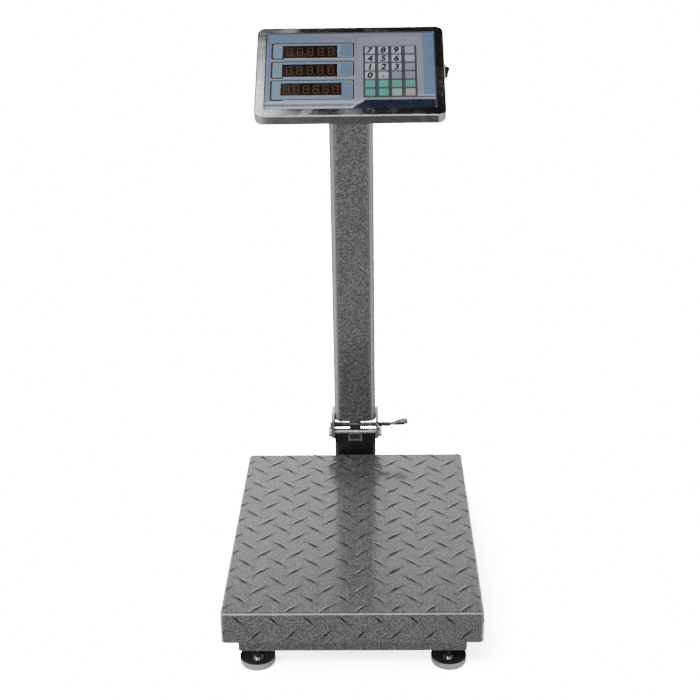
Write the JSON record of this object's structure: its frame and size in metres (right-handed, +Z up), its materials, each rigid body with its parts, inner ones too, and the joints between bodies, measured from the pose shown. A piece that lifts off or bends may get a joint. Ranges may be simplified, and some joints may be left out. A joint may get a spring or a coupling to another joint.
{
  "type": "folding-column platform scale",
  "caption": "Platform scale with a weighing pan, a folding column and a tilted head with displays and keys.",
  "frame": {"origin": "on the floor, under the middle of the whole scale's box", "axes": "+Z up, the operator stands on the -Y side, +X is the operator's right"},
  "size_m": [0.3, 0.4742, 0.674],
  "materials": {
    "hammertone": "hammertone grey enamel",
    "frame_paint": "dark grey enamel",
    "zinc": "bright zinc plate",
    "zinc_sheet": "zinc-plated sheet",
    "cell_aluminium": "milled",
    "black_steel": "blackened steel",
    "spring_steel": "drawn wire",
    "chrome": "polished chrome plate",
    "stainless": "polished stainless steel",
    "label": "printed polyester film",
    "keypad_grey": "satin",
    "window_red": "dark red filter",
    "board_green": "solder mask",
    "black_plastic": "satin",
    "black_rubber": "matt",
    "key_white": "satin",
    "key_light": "satin",
    "key_grey": "satin",
    "key_teal": "satin",
    "key_green": "satin",
    "key_mint": "satin",
    "key_pink": "satin"
  },
  "bodies": {
    "base": {"front_rail": "hammertone", "rear_rail": "hammertone", "frame_spine": "hammertone", "foot_locknuts": "zinc", "column_arm": "frame_paint", "stub": "frame_paint", "hinge_barrel": "zinc", "load_plate": "zinc_sheet", "load_cell": "cell_aluminium", "load_cell_bolts": "black_steel", "pan_pads": "black_rubber", "pan": "hammertone"},
    "column": {"column_tube": "hammertone", "hinge_cheeks": "zinc", "hinge_bolt": "zinc", "head_plate": "frame_paint", "front_housing": "stainless", "rear_cover": "stainless", "battery_cover": "stainless", "battery": "black_plastic", "face_overlay": "label", "keypad_plate": "keypad_grey", "display_windows": "window_red", "display_modules": "black_plastic", "main_board": "board_green", "switch_body": "black_plastic", "power_socket": "black_plastic", "head_screws": "zinc", "lock_spring": "spring_steel"},
    "lock": {"lock_lever": "black_steel", "lock_pawl": "black_steel"},
    "rocker": {"switch_rocker": "black_plastic"},
    "foot_front_left": {"foot_front_left": "chrome"},
    "foot_front_right": {"foot_front_right": "chrome"},
    "foot_rear_left": {"foot_rear_left": "chrome"},
    "foot_rear_right": {"foot_rear_right": "chrome"},
    "key_7": {"key_7": "key_white"},
    "key_8": {"key_8": "key_white"},
    "key_9": {"key_9": "key_white"},
    "key_light_1": {"key_light_1": "key_light"},
    "key_4": {"key_4": "key_white"},
    "key_5": {"key_5": "key_white"},
    "key_6": {"key_6": "key_white"},
    "key_light_2": {"key_light_2": "key_light"},
    "key_1": {"key_1": "key_white"},
    "key_2": {"key_2": "key_white"},
    "key_3": {"key_3": "key_white"},
    "key_grey_1": {"key_grey_1": "key_grey"},
    "key_0": {"key_0": "key_white"},
    "key_point": {"key_point": "key_white"},
    "key_grey_2": {"key_grey_2": "key_grey"},
    "key_grey_3": {"key_grey_3": "key_grey"},
    "key_teal_1": {"key_teal_1": "key_teal"},
    "key_teal_2": {"key_teal_2": "key_teal"},
    "key_teal_3": {"key_teal_3": "key_teal"},
    "key_teal_4": {"key_teal_4": "key_teal"},
    "key_green_1": {"key_green_1": "key_green"},
    "key_green_2": {"key_green_2": "key_green"},
    "key_mint": {"key_mint": "key_mint"},
    "key_pink": {"key_pink": "key_pink"}
  },
  "joints": [
    {"name": "column_fold", "type": "hinge", "parent": "base", "child": "column", "pos_m": [0, 0.17538, 0.1197], "axis": [1, 0, 0], "range_deg": [0, 90]},
    {"name": "lock_release", "type": "hinge", "parent": "column", "child": "lock", "pos_m": [0, 0.17538, 0.1314], "axis": [1, 0, 0], "range_deg": [0, 35], "stiffness_Nm_per_rad": 0.3, "springref_deg": -22.92},
    {"name": "power_rock", "type": "hinge", "parent": "column", "child": "rocker", "pos_m": [0.1216, 0.17671, 0.62408], "axis": [0, -0.6225, 0.7826], "range_deg": [0, 24]},
    {"name": "level_front_left", "type": "slide", "parent": "base", "child": "foot_front_left", "axis": [0, 0, -1], "range_m": [-0.005, 0.01]},
    {"name": "level_front_right", "type": "slide", "parent": "base", "child": "foot_front_right", "axis": [0, 0, -1], "range_m": [-0.005, 0.01]},
    {"name": "level_rear_left", "type": "slide", "parent": "base", "child": "foot_rear_left", "axis": [0, 0, -1], "range_m": [-0.005, 0.01]},
    {"name": "level_rear_right", "type": "slide", "parent": "base", "child": "foot_rear_right", "axis": [0, 0, -1], "range_m": [-0.005, 0.01]},
    {"name": "press_7", "type": "slide", "parent": "column", "child": "key_7", "axis": [0, 0.6225, -0.7826], "range_m": [0, 0.0006], "stiffness_N_per_m": 800, "springref_m": -0.0005},
    {"name": "press_8", "type": "slide", "parent": "column", "child": "key_8", "axis": [0, 0.6225, -0.7826], "range_m": [0, 0.0006], "stiffness_N_per_m": 800, "springref_m": -0.0005},
    {"name": "press_9", "type": "slide", "parent": "column", "child": "key_9", "axis": [0, 0.6225, -0.7826], "range_m": [0, 0.0006], "stiffness_N_per_m": 800, "springref_m": -0.0005},
    {"name": "press_light_1", "type": "slide", "parent": "column", "child": "key_light_1", "axis": [0, 0.6225, -0.7826], "range_m": [0, 0.0006], "stiffness_N_per_m": 800, "springref_m": -0.0005},
    {"name": "press_4", "type": "slide", "parent": "column", "child": "key_4", "axis": [0, 0.6225, -0.7826], "range_m": [0, 0.0006], "stiffness_N_per_m": 800, "springref_m": -0.0005},
    {"name": "press_5", "type": "slide", "parent": "column", "child": "key_5", "axis": [0, 0.6225, -0.7826], "range_m": [0, 0.0006], "stiffness_N_per_m": 800, "springref_m": -0.0005},
    {"name": "press_6", "type": "slide", "parent": "column", "child": "key_6", "axis": [0, 0.6225, -0.7826], "range_m": [0, 0.0006], "stiffness_N_per_m": 800, "springref_m": -0.0005},
    {"name": "press_light_2", "type": "slide", "parent": "column", "child": "key_light_2", "axis": [0, 0.6225, -0.7826], "range_m": [0, 0.0006], "stiffness_N_per_m": 800, "springref_m": -0.0005},
    {"name": "press_1", "type": "slide", "parent": "column", "child": "key_1", "axis": [0, 0.6225, -0.7826], "range_m": [0, 0.0006], "stiffness_N_per_m": 800, "springref_m": -0.0005},
    {"name": "press_2", "type": "slide", "parent": "column", "child": "key_2", "axis": [0, 0.6225, -0.7826], "range_m": [0, 0.0006], "stiffness_N_per_m": 800, "springref_m": -0.0005},
    {"name": "press_3", "type": "slide", "parent": "column", "child": "key_3", "axis": [0, 0.6225, -0.7826], "range_m": [0, 0.0006], "stiffness_N_per_m": 800, "springref_m": -0.0005},
    {"name": "press_grey_1", "type": "slide", "parent": "column", "child": "key_grey_1", "axis": [0, 0.6225, -0.7826], "range_m": [0, 0.0006], "stiffness_N_per_m": 800, "springref_m": -0.0005},
    {"name": "press_0", "type": "slide", "parent": "column", "child": "key_0", "axis": [0, 0.6225, -0.7826], "range_m": [0, 0.0006], "stiffness_N_per_m": 800, "springref_m": -0.0005},
    {"name": "press_point", "type": "slide", "parent": "column", "child": "key_point", "axis": [0, 0.6225, -0.7826], "range_m": [0, 0.0006], "stiffness_N_per_m": 800, "springref_m": -0.0005},
    {"name": "press_grey_2", "type": "slide", "parent": "column", "child": "key_grey_2", "axis": [0, 0.6225, -0.7826], "range_m": [0, 0.0006], "stiffness_N_per_m": 800, "springref_m": -0.0005},
    {"name": "press_grey_3", "type": "slide", "parent": "column", "child": "key_grey_3", "axis": [0, 0.6225, -0.7826], "range_m": [0, 0.0006], "stiffness_N_per_m": 800, "springref_m": -0.0005},
    {"name": "press_teal_1", "type": "slide", "parent": "column", "child": "key_teal_1", "axis": [0, 0.6225, -0.7826], "range_m": [0, 0.0006], "stiffness_N_per_m": 800, "springref_m": -0.0005},
    {"name": "press_teal_2", "type": "slide", "parent": "column", "child": "key_teal_2", "axis": [0, 0.6225, -0.7826], "range_m": [0, 0.0006], "stiffness_N_per_m": 800, "springref_m": -0.0005},
    {"name": "press_teal_3", "type": "slide", "parent": "column", "child": "key_teal_3", "axis": [0, 0.6225, -0.7826], "range_m": [0, 0.0006], "stiffness_N_per_m": 800, "springref_m": -0.0005},
    {"name": "press_teal_4", "type": "slide", "parent": "column", "child": "key_teal_4", "axis": [0, 0.6225, -0.7826], "range_m": [0, 0.0006], "stiffness_N_per_m": 800, "springref_m": -0.0005},
    {"name": "press_green_1", "type": "slide", "parent": "column", "child": "key_green_1", "axis": [0, 0.6225, -0.7826], "range_m": [0, 0.0006], "stiffness_N_per_m": 800, "springref_m": -0.0005},
    {"name": "press_green_2", "type": "slide", "parent": "column", "child": "key_green_2", "axis": [0, 0.6225, -0.7826], "range_m": [0, 0.0006], "stiffness_N_per_m": 800, "springref_m": -0.0005},
    {"name": "press_mint", "type": "slide", "parent": "column", "child": "key_mint", "axis": [0, 0.6225, -0.7826], "range_m": [0, 0.0006], "stiffness_N_per_m": 800, "springref_m": -0.0005},
    {"name": "press_pink", "type": "slide", "parent": "column", "child": "key_pink", "axis": [0, 0.6225, -0.7826], "range_m": [0, 0.0006], "stiffness_N_per_m": 800, "springref_m": -0.0005}
  ]
}
